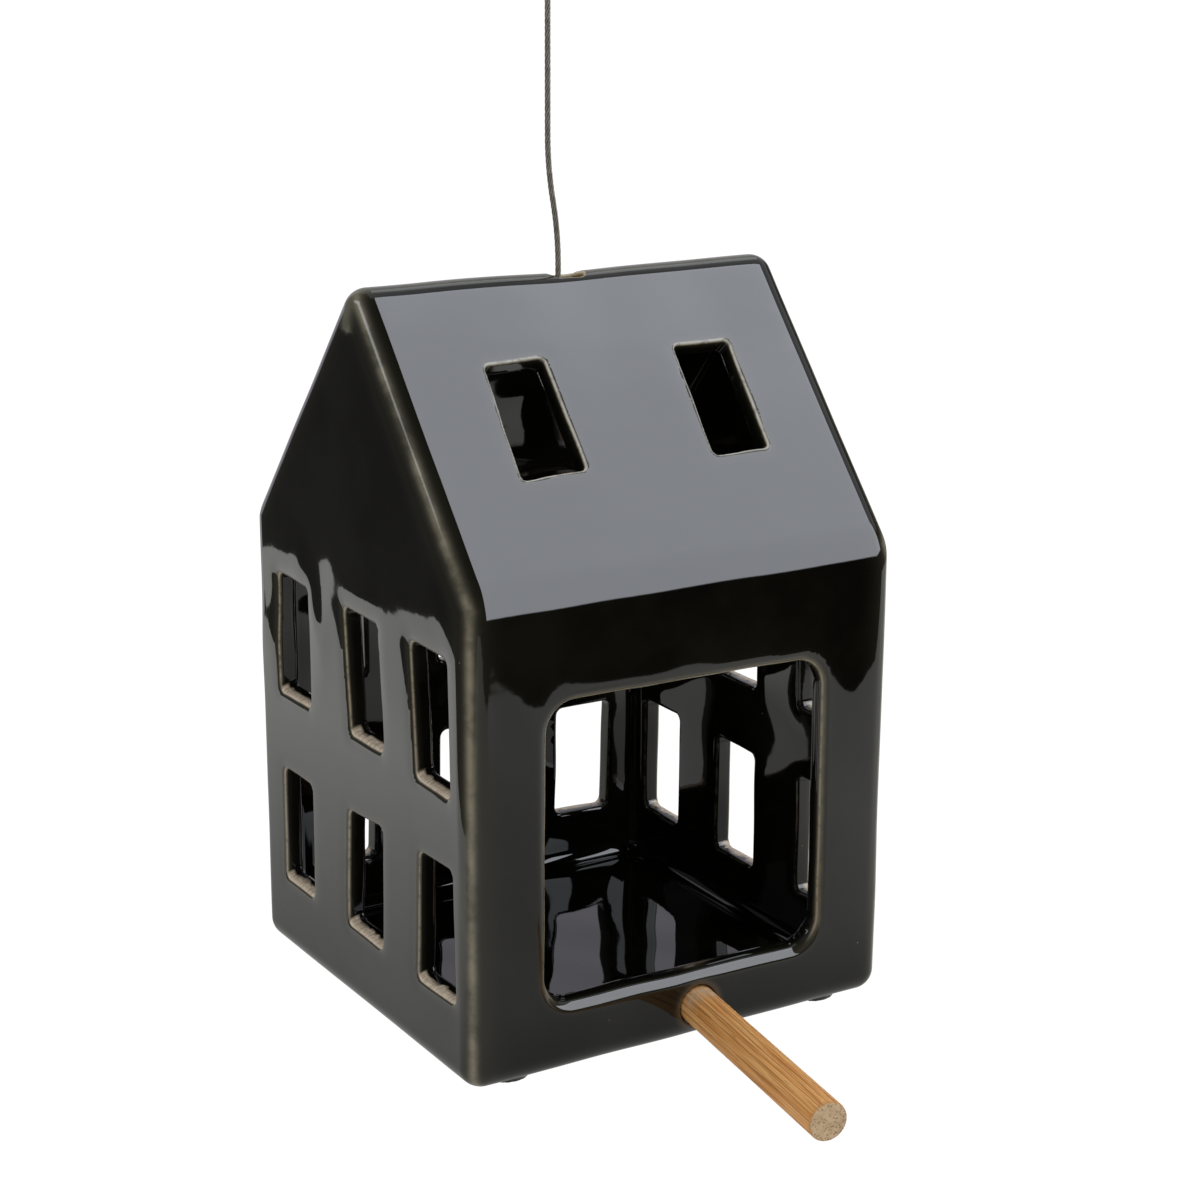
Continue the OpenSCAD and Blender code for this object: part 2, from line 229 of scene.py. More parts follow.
def field(P, more=False):
    """Signed distance in mm to the pottery at points P (n, 3), house millimetres with z from the plane of the feet."""
    x, y, z = P[:, 0], P[:, 1], P[:, 2] - BASE
    d_o = prism(x, y, z, CORE_OUT, HX_OUT, 5.8, 4.5)
    d_i = prism(x, y, z, CORE_IN, HX_IN, 4.2)
    d_o = d_o + waves(P, W_OUT) + waves(P, W_FINE) + swells(x, y, z)
    # the ridge dips in a little at its hole
    d_o = d_o + 0.45 * np.exp(-((x + 0.3) / 13.0) ** 2 - (y / 13.0) ** 2) * (z > 150)
    d_i = d_i + waves(P, W_IN)
    fo, fi = d_o.copy(), -d_i
    cut_o = np.full(len(P), 12.0)
    door = np.zeros(len(P))
    for c in CUTS:
        u, v, t = WALLS[c["wall"]](x, y, z)
        m = (np.abs(u - c["c"][0]) < c["h"][0] + 11) & (np.abs(v - c["c"][1]) < c["h"][1] + 11) & (t > -11.5) & (t < 6)
        if not m.any():
            continue
        um, vm, tm = u[m], v[m], t[m]
        if c["tilt"]:
            w = np.clip((c["c"][1] - vm) / c["h"][1], 0, 1)
            vm = vm - c["tilt"] * np.clip(-tm, 0, 7) * w * w * (3 - 2 * w)
        k = waves(P[m], W_CUT)
        d = poly_sdf(um, vm, c["V"]) - c["rc"] + k * (1.6 if c["wall"] != "F" else 1.0)
        # the rim leans out slightly towards the outside, as a knife leaves it
        g = c["dish"] * np.exp(-(np.maximum(d, 0) / c["dw"]) ** 2)
        a = fo[m] + g
        b = fi[m] + 0.5 * c["dish"] * np.exp(-(np.maximum(d, 0) / 3.0) ** 2)
        fo[m] = round_cut(a, -d, c["ro"])
        fi[m] = round_cut(b, -d, c["ri"])
        door[m] = np.where(d < cut_o[m], {"F": 1.0, "SF": -1.0, "SB": -1.0}.get(c["wall"], 0.0), door[m])
        cut_o[m] = np.minimum(cut_o[m], d)
    # ridge hole
    m = (np.hypot(x, y) < 16) & (z > 168)
    hole = np.full(len(P), 12.0)
    if m.any():
        d = np.hypot(np.maximum(np.abs(x[m]) - 2.2, 0), y[m]) - 2.4 + 0.10 * np.sin(3 * np.arctan2(y[m], x[m]) + 1)
        fo[m] = round_cut(fo[m], -d, 0.9)
        fi[m] = round_cut(fi[m], -d, 0.8)
        hole[m] = d
    # perch hole
    q = P - (PERCH_O + np.array([0, 0, BASE]))
    al = q @ PERCH_A
    m = (al > -14.6) & (al < 12) & (np.abs(q[:, 0]) < 16) & (np.abs(q[:, 2]) < 16)
    perch = np.full(len(P), 12.0)
    if m.any():
        rad = np.linalg.norm(q[m] - al[m][:, None] * PERCH_A, axis=1)
        d = rad - 5.34
        fo[m] = round_cut(fo[m] + 0.18 * np.exp(-(np.maximum(d, 0) / 2.5) ** 2), -d, 0.8)
        fi[m] = round_cut(fi[m], -d, 0.6)
        perch[m] = d
    f = np.maximum(fo, fi)
    # moulded feet
    m = z < 5
    if m.any():
        foot = np.full(int(m.sum()), 50.0)
        for fx, fy in FEET:
            dr = np.hypot(x[m] - fx, y[m] - fy) - (5.9 + 0.15 * (z[m] + BASE))
            dz = np.maximum(-(z[m] + BASE) + 0.03, (z[m] + BASE) - 3.0)
            e = np.minimum(np.maximum(dr + 0.5, dz + 0.5), 0) + np.hypot(np.maximum(dr + 0.5, 0), np.maximum(dz + 0.5, 0)) - 0.5
            foot = np.minimum(foot, e)
        a, b, k = f[m], foot, 1.0
        h = np.clip(0.5 + 0.5 * (a - b) / k, 0, 1)
        f[m] = a * (1 - h) + b * h - k * h * (1 - h)
    if not more:
        return f
    # distance measure to the corner and rake edges, and a weaker one along the ridge
    side = np.abs(x) - HW
    across = np.maximum(np.abs(y) - HD, SN * (np.abs(y) - HD) + CS * (z - EAVE))
    edge = np.abs(side - across)
    ridge = np.where(z > RIDGE - 14, 2 * SN * np.abs(y), 12.0)
    return f, dict(d_o=d_o, d_i=d_i, cut=cut_o, hole=hole, perch=perch, edge=edge, ridge=ridge, door=door)


def gradient(P, h=0.05):
    g = np.empty_like(P)
    for i in range(3):
        q = P.copy()
        q[:, i] += h
        s = P.copy()
        s[:, i] -= h
        g[:, i] = (field(q) - field(s)) / (2 * h)
    return g


def project(P, rounds=2):
    for _ in range(rounds):
        f = field(P)
        g = gradient(P)
        n2 = np.maximum((g * g).sum(1), 0.05)
        step = (f / n2)[:, None] * g
        ln = np.linalg.norm(step, axis=1)
        step *= np.minimum(1, 0.6 / np.maximum(ln, 1e-9))[:, None]
        P = P - step
    return P


def surface_net(h):
    lo = np.array([-HW - 1.5, -HD - 1.5, -1.5])
    n = np.ceil((np.array([HW + 1.5, HD + 1.5, 190.5]) - lo) / h).astype(int) + 1
    xs, ys, zs = (lo[i] + h * np.arange(n[i]) for i in range(3))
    Y, Z = np.meshgrid(ys, zs, indexing="ij")
    po, pi = poly_sdf(Y, Z - BASE, CORE_OUT), poly_sdf(Y, Z - BASE, CORE_IN)
    F = np.empty(n, np.float32)
    for i in range(n[0]):
        dx = abs(xs[i]) - HX_OUT
        do = np.minimum(np.maximum(po, dx), 0) + np.hypot(np.maximum(po, 0), max(dx, 0)) - 5.8
        dx = abs(xs[i]) - HX_IN
        di = np.minimum(np.maximum(pi, dx), 0) + np.hypot(np.maximum(pi, 0), max(dx, 0)) - 4.2
        s = np.maximum(do, -di)
        near = (s < 2.2) | (Z < 4)
        near &= (s > -9.0) | (Z < 4)
        P = np.stack([np.full(int(near.sum()), xs[i]), Y[near], Z[near]], 1)
        s = s.copy()
        s[near] = field(P)
        F[i] = s
    S = F < 0
    tot = np.zeros(n - 1, np.uint8)
    for a in (0, 1):
        for b in (0, 1):
            for c in (0, 1):
                tot += S[a:n[0] - 1 + a, b:n[1] - 1 + b, c:n[2] - 1 + c]
    act = (tot > 0) & (tot < 8)
    ijk = np.argwhere(act)
    idx = np.full(n - 1, -1, np.int32)
    idx[act] = np.arange(len(ijk))
    acc, cnt = np.zeros((len(ijk), 3)), np.zeros(len(ijk))
    val = {}
    for a in (0, 1):
        for b in (0, 1):
            for c in (0, 1):
                val[a, b, c] = F[ijk[:, 0] + a, ijk[:, 1] + b, ijk[:, 2] + c].astype(float)
    for ax in range(3):
        for p in (0, 1):
            for q in (0, 1):
                s0 = [p, q]
                s0.insert(ax, 0)
                s1 = [p, q]
                s1.insert(ax, 1)
                v0, v1 = val[tuple(s0)], val[tuple(s1)]
                m = (v0 < 0) != (v1 < 0)
                t = v0[m] / (v0[m] - v1[m])
                pt = np.tile(np.array(s0, float), (int(m.sum()), 1))
                pt[:, ax] += t
                acc[m] += pt
                cnt[m] += 1
    V = lo + h * (ijk + acc / cnt[:, None])
    quads = []

    def emit(A, flip, c0, c1, c2, c3):
        q = np.stack([idx[c0], idx[c1], idx[c2], idx[c3]], 1)
        quads.append(np.where(flip[:, None], q[:, ::-1], q))

    i, j, k = np.nonzero(S[:-1, 1:-1, 1:-1] != S[1:, 1:-1, 1:-1])
    j, k = j + 1, k + 1
    emit(0, ~S[i, j, k], (i, j - 1, k - 1), (i, j, k - 1), (i, j, k), (i, j - 1, k))
    i, j, k = np.nonzero(S[1:-1, :-1, 1:-1] != S[1:-1, 1:, 1:-1])
    i, k = i + 1, k + 1
    emit(1, ~S[i, j, k], (i - 1, j, k - 1), (i - 1, j, k), (i, j, k), (i, j, k - 1))
    i, j, k = np.nonzero(S[1:-1, 1:-1, :-1] != S[1:-1, 1:-1, 1:])
    i, j = i + 1, j + 1
    emit(2, ~S[i, j, k], (i - 1, j - 1, k), (i, j - 1, k), (i, j, k), (i - 1, j, k))
    return V, np.concatenate(quads)


def mesh_from(name, V, Q):
    me = bpy.data.meshes.new(name)
    Q = np.asarray(Q, np.int32)
    me.vertices.add(len(V))
    me.vertices.foreach_set("co", np.asarray(V, np.float32).ravel())
    me.loops.add(Q.size)
    me.loops.foreach_set("vertex_index", Q.ravel())
    me.polygons.add(len(Q))
    me.polygons.foreach_set("loop_start", np.arange(0, Q.size, Q.shape[1], dtype=np.int32))
    me.polygons.foreach_set("loop_total", np.full(len(Q), Q.shape[1], np.int32))
    me.update(calc_edges=True)
    me.validate()
    return me


def link(me, name):
    ob = bpy.data.objects.new(name, me)
    bpy.context.scene.collection.objects.link(ob)
    return ob


def coords(me):
    co = np.empty(len(me.vertices) * 3, np.float32)
    me.vertices.foreach_get("co", co)
    return co.reshape(-1, 3).astype(float)


def float_attr(me, name, values):
    a = me.attributes.new(name, "FLOAT", "POINT")
    a.data.foreach_set("value", np.asarray(values, np.float32))


def evaluate(ob):
    dg = bpy.context.evaluated_depsgraph_get()
    me = bpy.data.meshes.new_from_object(ob.evaluated_get(dg))
    old = ob.data
    ob.modifiers.clear()
    ob.data = me
    bpy.data.meshes.remove(old)
    return me


def build_house():
    V, Q = surface_net(0.72)
    V = project(V, 2)
    me = mesh_from("house_mesh", V, Q)
    ob = link(me, "ceramic_house")
    mod = ob.modifiers.new("reduce", "DECIMATE")
    mod.ratio = min(1.0, 186000 / (2.0 * len(Q)))
    me = evaluate(ob)
    V = project(coords(me), 1)
    f, more = field(V, True)
    g = gradient(V, 0.03)
    n = g / np.maximum(np.linalg.norm(g, axis=1), 1e-9)[:, None]
    # signed millimetres across each rim: zero on its crest, less inside the opening
    rim_o = np.clip(more["d_o"] + more["cut"], -9, 12)
    rim_i = np.clip(-more["d_i"] + more["cut"], -9, 12)
    inside = (more["d_o"] < -more["d_i"] - 0.0).astype(float)
    hole = np.clip(more["d_o"] + more["hole"], -9, 12)
    perch = np.clip(more["d_o"] + more["perch"], -9, 12)
    foot = np.clip(1.15 - V[:, 2], 0, 1.15) / 1.15
    float_attr(me, "rim_o", rim_o)
    float_attr(me, "rim_i", rim_i)
    float_attr(me, "inside", inside)
    float_attr(me, "hole", hole)
    float_attr(me, "perch", perch)
    float_attr(me, "edge", np.clip(more["edge"], 0, 12))
    float_attr(me, "ridge", np.clip(more["ridge"], 0, 12))
    float_attr(me, "door", more["door"])
    float_attr(me, "foot", foot)
    me.vertices.foreach_set("co", put(V).astype(np.float32).ravel())
    me.update()
    me.polygons.foreach_set("use_smooth", np.ones(len(me.polygons), bool))
    me.normals_split_custom_set_from_vertices(n.astype(np.float32))
    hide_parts("house_body")
    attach(ob, "house")
    print("house:", len(me.vertices), "vertices", len(me.polygons), "faces")
    return ob


# ------------------------------------------------------------ swept and turned pieces


def grid_quads(n, m, close_u=True):
    """Faces of n rings of m points, each ring closed."""
    i, j = np.meshgrid(np.arange(n - 1), np.arange(m), indexing="ij")
    k = (j + 1) % m
    return np.stack([i * m + j, i * m + k, (i + 1) * m + k, (i + 1) * m + j], -1).reshape(-1, 4)


def to_mesh(name, V, quads, tris, scale=0.001):
    me = bpy.data.meshes.new(name)
    me.from_pydata([tuple(p) for p in (np.asarray(V) * scale)], [], [tuple(int(a) for a in q) for q in quads] + [tuple(int(a) for a in t) for t in tris])
    me.update()
    me.validate()
    return me


def smooth(me, angle=40):
    me.polygons.foreach_set("use_smooth", np.ones(len(me.polygons), bool))
    me.set_sharp_from_angle(angle=math.radians(angle))


def turned(name, rings, m, cap_rings, seed, groove, bend=0.0):
    """A dowel along local Z: rings is [(radius, z)], with long fibre grooves cut into its side."""
    rng = np.random.RandomState(seed)
    th = np.arange(m) * 2 * math.pi / m
    R0 = max(r for r, _ in rings)
    parts = [(rng.randint(9, 70), rng.uniform(0, 6.28), rng.uniform(-1.2, 1.2), rng.uniform(0.4, 1)) for _ in range(26)]
    tot = math.sqrt(sum(p[3] ** 2 for p in parts) / 2)
    L = rings[-1][1] - rings[0][1]
    pts = []
    full = [(f * rings[0][0], rings[0][1]) for f in cap_rings] + list(rings) + [(f * rings[-1][0], rings[-1][1]) for f in cap_rings[::-1]]
    for q, (r, z) in enumerate(full):
        g = sum(a * np.sin(k * th + ph + tw * z / 9.0) for k, ph, tw, a in parts) / tot
        g = -np.abs(g) * groove * min(1, (r / R0) ** 4)
        oval = 1 + 0.004 * np.cos(2 * th + 0.02 * z)
        rr = (r + g) * oval
        zz = np.full(m, z)
        if r < rings[0][0] * 0.999 or r < rings[-1][0] * 0.999:
            zz = z + (0.03 if z > L / 2 else -0.03) * np.sin(5 * th + r * 3.1) * (1 if (q < len(cap_rings) or q >= len(full) - len(cap_rings)) else 0)
        pts.append(np.stack([rr * np.cos(th) + bend * math.sin(math.pi * z / L), rr * np.sin(th), zz], 1))
    V = np.concatenate(pts + [np.array([[0, 0, rings[0][1]]]), np.array([[0, 0, rings[-1][1]]])])
    n = len(full)
    quads = grid_quads(n, m)
    a, b = n * m, n * m + 1
    j = np.arange(m)
    tris = [(a, (i + 1) % m, i) for i in j] + [(b, (n - 1) * m + i, (n - 1) * m + (i + 1) % m) for i in j]
    return V, quads, tris, n, len(cap_rings)


def build_perch():
    L, r = 79.84, 4.97
    zs = np.linspace(0.45, L - 0.45, 60)
    rings = [(r - 0.42, 0.03), (r - 0.16, 0.14)] + [(r, z) for z in zs] + [(r - 0.15, L - 0.16), (r - 0.42, L - 0.03)]
    m = 240
    V, quads, tris, n, nc = turned("perch", rings, m, [0.25, 0.5, 0.72, 0.88], 3, 0.045)
    me = to_mesh("perch_mesh", V, quads, tris)
    ob = link(me, "bamboo_perch")
    zc = np.array([p.center[2] for p in me.polygons])
    nz = np.array([p.normal[2] for p in me.polygons])
    me.polygons.foreach_set("material_index", (np.abs(nz) > 0.8).astype(np.int32))
    smooth(me, 35)
    z_axis = Vector(PERCH_A)
    x_axis = Vector((0, 0, 1)).cross(z_axis).normalized()
    y_axis = z_axis.cross(x_axis)
    origin = Vector(put(PERCH_O + np.array([0, 0, BASE]) - PERCH_A * 14.0))
    M = Matrix.Identity(4)
    for i in range(3):
        M[i][0], M[i][1], M[i][2], M[i][3] = x_axis[i], y_axis[i], z_axis[i], origin[i]
    ob.matrix_world = M
    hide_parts("perch_dowel")
    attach(ob, "perch")
    return ob


def build_toggle():
    lo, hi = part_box("toggle_bar")
    r, L = (hi.z - lo.z) * 500 - 0.01, (hi.x - lo.x) * 1000 - 0.02
    zs = np.linspace(0.5, L - 0.5, 40)
    rings = [(r - 0.4, 0.02), (r - 0.14, 0.14)] + [(r, z) for z in zs] + [(r - 0.14, L - 0.14), (r - 0.4, L - 0.02)]
    V, quads, tris, n, nc = turned("toggle", rings, 120, [0.3, 0.65], 8, 0.03)
    me = to_mesh("toggle_mesh", V, quads, tris)
    ob = link(me, "bamboo_toggle_bar")
    # local Z runs along the frame's X
    M = Matrix(((0, 0, 1, lo.x + 0.00001), (0, 1, 0, (lo.y + hi.y) / 2), (-1, 0, 0, (lo.z + hi.z) / 2), (0, 0, 0, 1)))
    ob.matrix_world = M
    # cross hole for the rope
    th = np.arange(40) * 2 * math.pi / 40
    cl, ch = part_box("stop_ferrule")
    cx = ((cl.x + ch.x) / 2 - lo.x) * 1000
    C = np.concatenate([np.stack([np.full(40, s * 4.0), 0.81 * np.cos(th), cx + 0.81 * np.sin(th)], 1) for s in (-1, 1)])
    cq = [(j, (j + 1) % 40, 40 + (j + 1) % 40, 40 + j) for j in range(40)]
    cm = bpy.data.meshes.new("drill")
    cm.from_pydata([tuple(p * 0.001) for p in C], [], cq + [tuple(range(39, -1, -1)), tuple(range(40, 80))])
    cm.update()
    drill = link(cm, "drill")
    drill.matrix_world = M
    bpy.context.view_layer.update()
    mod = ob.modifiers.new("bore", "BOOLEAN")
    mod.operation, mod.solver, mod.object = "DIFFERENCE", "EXACT", drill
    me = evaluate(ob)
    bpy.data.objects.remove(drill)
    smooth(me, 35)
    nz = np.array([p.normal[2] for p in me.polygons])
    rad = np.array([math.hypot(p.center[0], p.center[1]) for p in me.polygons])
    me.polygons.foreach_set("material_index", ((np.abs(nz) > 0.8)).astype(np.int32))
    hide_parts("toggle_bar")
    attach(ob, "toggle")
    return ob


def cable_path():
    """Middle line of the rope: from under the stop ferrule, through the ridge, round the loop and back to its cut end."""
    cable_x, cset, lean, run = -2.4, 3.0, math.radians(10), 2.0
    r = (cset - run * math.sin(lean)) / (2 * (1 - math.cos(lean)))
    z0 = BASE + RIDGE - 2
    z1 = z0 + 2 * r * math.sin(lean) + run * math.cos(lean)
    top_x = cable_x - cset
    lh = 0.77
    loop_x, loop_r, leg = top_x + lh, 11.0, 30.0
    loop_cz = BASE + 372 - loop_r - 0.75
    leg_z = loop_cz - leg
    dist = math.hypot(lh, leg)
    la = math.pi / 2 - math.atan(lh / leg) - math.acos(loop_r / dist)
    fz1 = leg_z - 1.2
    fz0 = fz1 - 9
    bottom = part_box("stop_ferrule")[0].z * 1000 - 0.8
    pts = [(cable_x, bottom), (cable_x, z0)]
    for a in np.linspace(0, lean, 12)[1:]:
        pts.append((cable_x - r + r * math.cos(a), z0 + r * math.sin(a)))
    for a in np.linspace(lean, 0, 12):
        pts.append((top_x + r - r * math.cos(a), z1 - r * math.sin(a)))
    pts.append((top_x, leg_z))
    for a in np.linspace(math.pi + la, -la, 60):
        pts.append((loop_x + loop_r * math.cos(a), loop_cz + loop_r * math.sin(a)))
    pts += [(loop_x + lh, leg_z), (loop_x + lh, fz0 - 2)]
    P = np.array(pts)
    seg = np.linalg.norm(np.diff(P, axis=0), axis=1)
    s = np.concatenate([[0], np.cumsum(seg)])
    N = int(s[-1] / (0.5))
    t = np.linspace(0, s[-1], N)
    Q = np.stack([np.interp(t, s, P[:, 0]), np.interp(t, s, P[:, 1])], 1)
    for _ in range(3):  # eases the corners where legs meet the standing rope
        Q[1:-1] = (Q[:-2] + 2 * Q[1:-1] + Q[2:]) / 4
    return Q, t, (loop_x, fz0, fz1)


def build_cable():
    Q, t, info = cable_path()
    T = np.gradient(Q, axis=0)
    T /= np.linalg.norm(T, axis=1)[:, None]
    N2 = np.stack([T[:, 1], -T[:, 0]], 1)
    m = 84
    th = np.arange(m) * 2 * math.pi / m
    V, deep = [], []
    rc, rs = 0.487, 0.255
    for i in range(len(Q)):
        tw = LAY * 2 * math.pi * t[i] / 9.6
        a = th
        loc = (a + math.pi / 6) % (math.pi / 3) - math.pi / 6
        rad = rc * np.cos(loc) + np.sqrt(np.maximum(rs * rs - (rc * np.sin(loc)) ** 2, 0))
        psi = np.arctan2(rad * np.sin(loc), rad * np.cos(loc) - rc)
        rad = rad - 0.022 * (1 - np.abs(np.cos(3 * (psi + LAY * -1.1 * t[i] / 1.0)))) - 0.002
        deep.append((0.74 - rad) / 0.3)
        ang = a + tw
        c, s = rad * np.cos(ang), rad * np.sin(ang)
        V.append(np.stack([Q[i, 0] + c * N2[i, 0], s, Q[i, 1] + c * N2[i, 1]], 1))
    n = len(Q)
    V = np.concatenate(V)
    deep = np.concatenate(deep)
    ends = []
    for i, sgn in ((0, -1), (n - 1, 1)):
        ends.append(np.array([Q[i, 0] + sgn * 0.12 * T[i, 0], 0, Q[i, 1] + sgn * 0.12 * T[i, 1]]))
    V = np.concatenate([V, np.array(ends)])
    deep = np.concatenate([deep, [0.3, 0.3]])
    quads = grid_quads(n, m)
    a, b = n * m, n * m + 1
    tris = [(a, (i + 1) % m, i) for i in range(m)] + [(b, (n - 1) * m + i, (n - 1) * m + (i + 1) % m) for i in range(m)]
    me = to_mesh("rope_mesh", put(V) * 1000, quads, tris)
    float_attr(me, "deep", np.clip(deep, 0, 1.2)) if len(me.vertices) == len(deep) else None
    ob = link(me, "wire_rope")
    smooth(me, 60)
    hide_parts("hanging_cable")
    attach(ob, "hanger")
    flip_if_inside_out(ob)
    return ob, info


def flip_if_inside_out(ob):
    """Faces of a closed mesh turned outwards."""
    import bmesh

    bm = bmesh.new()
    bm.from_mesh(ob.data)
    bmesh.ops.recalc_face_normals(bm, faces=bm.faces)
    if bm.calc_volume(signed=True) < 0:
        bmesh.ops.reverse_faces(bm, faces=bm.faces)
    bm.to_mesh(ob.data)
    bm.free()


def stadium(w, t, m):
    """Outline of an oval sleeve, m points."""
    a = np.arange(m) * 2 * math.pi / m
    x, y = np.cos(a) * t / 2, np.sin(a) * t / 2
    return np.stack([x + np.sign(np.cos(a)) * (w - t) / 2 * np.minimum(1, np.abs(np.cos(a)) * 6), y], 1)


def build_sleeve(name, cx, z0, z1, w, t, crimps, recess, body, node):
    m = 72
    L = z1 - z0
    prof = [(recess, 0.34), (0.28, 0.30), (0.06, 0.17), (0.0, 0.02)]  # (depth from the end, inset)
    rows = []
    inner = [(recess, 0.42 * t)]
    rows += [(z0 + d, i) for d, i in [(recess, 0.30 * t), (recess, 0.36)]]
    rows += [(z0 + 0.10, 0.34), (z0 + 0.0, 0.22), (z0 + 0.03, 0.10), (z0 + 0.20, 0.0)]
    zs = np.linspace(z0 + 0.4, z1 - 0.4, 46)
    for z in zs:
        q = 0.0
        for c in crimps:
            q = max(q, math.exp(-(((z - z0) / L - c) / 0.055) ** 4))
        rows.append((z, 0.16 * q))
    rows += [(z1 - 0.20, 0.0), (z1 - 0.03, 0.10), (z1 - 0.0, 0.22), (z1 - 0.10, 0.34)]
    rows += [(z1 - recess, 0.36), (z1 - recess, 0.30 * t)]
    V = []
    for z, ins in rows:
        s = stadium(w - 2 * ins, t - 2 * ins, m)
        V.append(np.stack([cx + s[:, 0], s[:, 1], np.full(m, z)], 1))
    n = len(rows)
    V = np.concatenate(V + [np.array([[cx, 0, z0 + recess]]), np.array([[cx, 0, z1 - recess]])])
    quads = grid_quads(n, m)
    a, b = n * m, n * m + 1
    tris = [(a, (i + 1) % m, i) for i in range(m)] + [(b, (n - 1) * m + i, (n - 1) * m + (i + 1) % m) for i in range(m)]
    me = to_mesh(name + "_mesh", put(V) * 1000, quads, tris)
    ob = link(me, name)
    smooth(me, 50)
    flip_if_inside_out(ob)
    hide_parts(node)
    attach(ob, body)
    return ob


# ------------------------------------------------------------ materials


class Net:
    """Short names for building a node material."""

    def __init__(self, name):
        self.mat = bpy.data.materials.new(name)
        self.mat.use_nodes = True
        self.t = self.mat.node_tree
        self.t.nodes.clear()
        self.out = self.t.nodes.new("ShaderNodeOutputMaterial")

    def put(self, sock, v):
        if isinstance(v, bpy.types.NodeSocket):
            self.t.links.new(v, sock)
        elif v is not None:
            if sock.type == "RGBA" and len(v) == 3:
                v = (*v, 1)
            sock.default_value = v

    def node(self, kind, **kw):
        n = self.t.nodes.new(kind)
        for k, v in kw.items():
            setattr(n, k, v)
        return n

    def m(self, op, a, b=None, c=None, clamp=False):
        n = self.node("ShaderNodeMath", operation=op, use_clamp=clamp)
        for i, v in enumerate((a, b, c)):
            if v is not None:
                self.put(n.inputs[i], v)
        return n.outputs[0]

    def attr(self, name):
        return self.node("ShaderNodeAttribute", attribute_name=name).outputs["Fac"]

    def pos(self):
        return self.node("ShaderNodeTexCoord").outputs["Object"]

    def scaled(self, vec, s):
        n = self.node("ShaderNodeVectorMath", operation="MULTIPLY")
        self.put(n.inputs[0], vec)
        self.put(n.inputs[1], s)
        return n.outputs[0]

    def noise(self, vec, scale, detail=2.0, rough=0.5, dist=0.0):
        n = self.node("ShaderNodeTexNoise")
        self.put(n.inputs["Vector"], vec)
        self.put(n.inputs["Scale"], scale)
        self.put(n.inputs["Detail"], detail)
        self.put(n.inputs["Roughness"], rough)
        self.put(n.inputs["Distortion"], dist)
        return n.outputs["Fac"]

    def voronoi(self, vec, scale, out="Distance", feature="F1", rand=1.0):
        n = self.node("ShaderNodeTexVoronoi", feature=feature)
        self.put(n.inputs["Vector"], vec)
        self.put(n.inputs["Scale"], scale)
        self.put(n.inputs["Randomness"], rand)
        return n.outputs[out]

    def map(self, v, a, b, c=0.0, d=1.0, smooth=True):
        n = self.node("ShaderNodeMapRange", interpolation_type="SMOOTHSTEP" if smooth else "LINEAR")
        n.clamp = True
        for i, x in enumerate((v, a, b, c, d)):
            self.put(n.inputs[i], x)
        return n.outputs[0]

    def bell(self, v, mid, width):
        """One at mid, falling off over width."""
        d = self.m("DIVIDE", self.m("SUBTRACT", v, mid), width)
        return self.m("POWER", 2.718, self.m("MULTIPLY", self.m("MULTIPLY", d, d), -1.0))

    def mix(self, f, a, b, kind="MIX"):
        n = self.node("ShaderNodeMix", data_type="RGBA", blend_type=kind)
        self.put(n.inputs[0], f)
        self.put(n.inputs[6], a)
        self.put(n.inputs[7], b)
        return n.outputs[2]

    def mixf(self, f, a, b):
        n = self.node("ShaderNodeMix", data_type="FLOAT")
        self.put(n.inputs[0], f)
        self.put(n.inputs[2], a)
        self.put(n.inputs[3], b)
        return n.outputs[0]

    def bump(self, h, strength, dist, normal=None):
        n = self.node("ShaderNodeBump")
        self.put(n.inputs["Height"], h)
        self.put(n.inputs["Strength"], strength)
        self.put(n.inputs["Distance"], dist)
        if normal is not None:
            self.put(n.inputs["Normal"], normal)
        return n.outputs[0]

    def surface(self, color, rough, metal=0.0, ior=1.5, normal=None, spec=None, coat=None):
        b = self.node("ShaderNodeBsdfPrincipled")
        self.put(b.inputs["Base Color"], color)
        self.put(b.inputs["Roughness"], rough)
        self.put(b.inputs["Metallic"], metal)
        self.put(b.inputs["IOR"], ior)
        if spec is not None:
            self.put(b.inputs["Specular IOR Level"], spec)
        if normal is not None:
            self.put(b.inputs["Normal"], normal)
        if coat is not None:
            self.put(b.inputs["Coat Weight"], coat)
            self.put(b.inputs["Coat Roughness"], 0.03)
        self.put(self.out.inputs["Surface"], b.outputs[0])
        return self.mat


